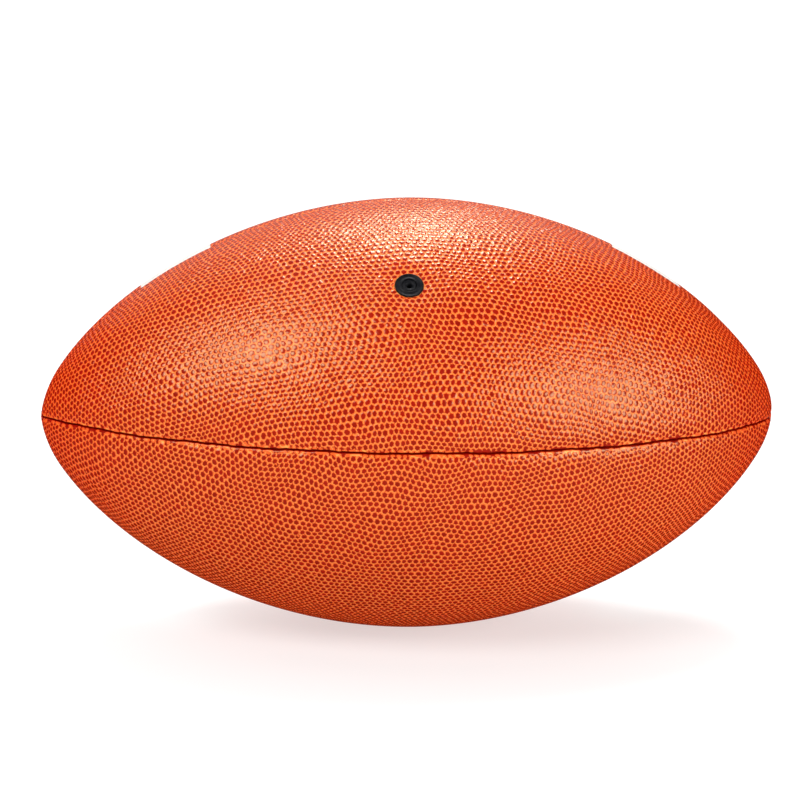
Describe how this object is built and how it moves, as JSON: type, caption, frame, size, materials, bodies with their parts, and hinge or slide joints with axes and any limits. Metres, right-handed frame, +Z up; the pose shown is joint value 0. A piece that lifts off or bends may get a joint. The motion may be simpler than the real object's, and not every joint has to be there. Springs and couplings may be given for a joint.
{
  "type": "american football",
  "caption": "American football of pebbled leather panels sewn over linings and an inflated bladder, with a laced slit in the back seam and an inflation valve in the upper front panel.",
  "frame": {"origin": "middle of the foot of the ball's box: on the surface that it lies on, under its middle", "axes": "+X along the ball's long axis, +Y towards the lace, +Z up"},
  "size_m": [0.2898, 0.1714, 0.1679],
  "materials": {
    "pebbled_leather": "glossy pebbled grain",
    "cotton_lining": "plain weave",
    "butyl_rubber": "satin",
    "valve_rubber": "satin",
    "white_lace": "fine grain",
    "facing_leather": "matt",
    "waxed_thread": "waxed"
  },
  "bodies": {
    "root": {"panel_front_upper": "pebbled_leather", "panel_front_lower": "pebbled_leather", "panel_back_upper": "pebbled_leather", "panel_back_lower": "pebbled_leather", "lining_front_upper": "cotton_lining", "lining_front_lower": "cotton_lining", "lining_back_upper": "cotton_lining", "lining_back_lower": "cotton_lining", "bladder": "butyl_rubber", "valve_housing": "valve_rubber", "valve_core": "valve_rubber", "valve_patch": "butyl_rubber", "lace": "white_lace", "lace_facing_upper": "facing_leather", "lace_facing_lower": "facing_leather", "lace_tongue": "facing_leather", "needle_thread_top": "waxed_thread", "needle_thread_front": "waxed_thread", "needle_thread_bottom": "waxed_thread", "needle_thread_back_left": "waxed_thread", "needle_thread_back_right": "waxed_thread", "bobbin_thread_top": "waxed_thread", "bobbin_thread_front": "waxed_thread", "bobbin_thread_bottom": "waxed_thread", "bobbin_thread_back_left": "waxed_thread", "bobbin_thread_back_right": "waxed_thread"}
  },
  "joints": []
}
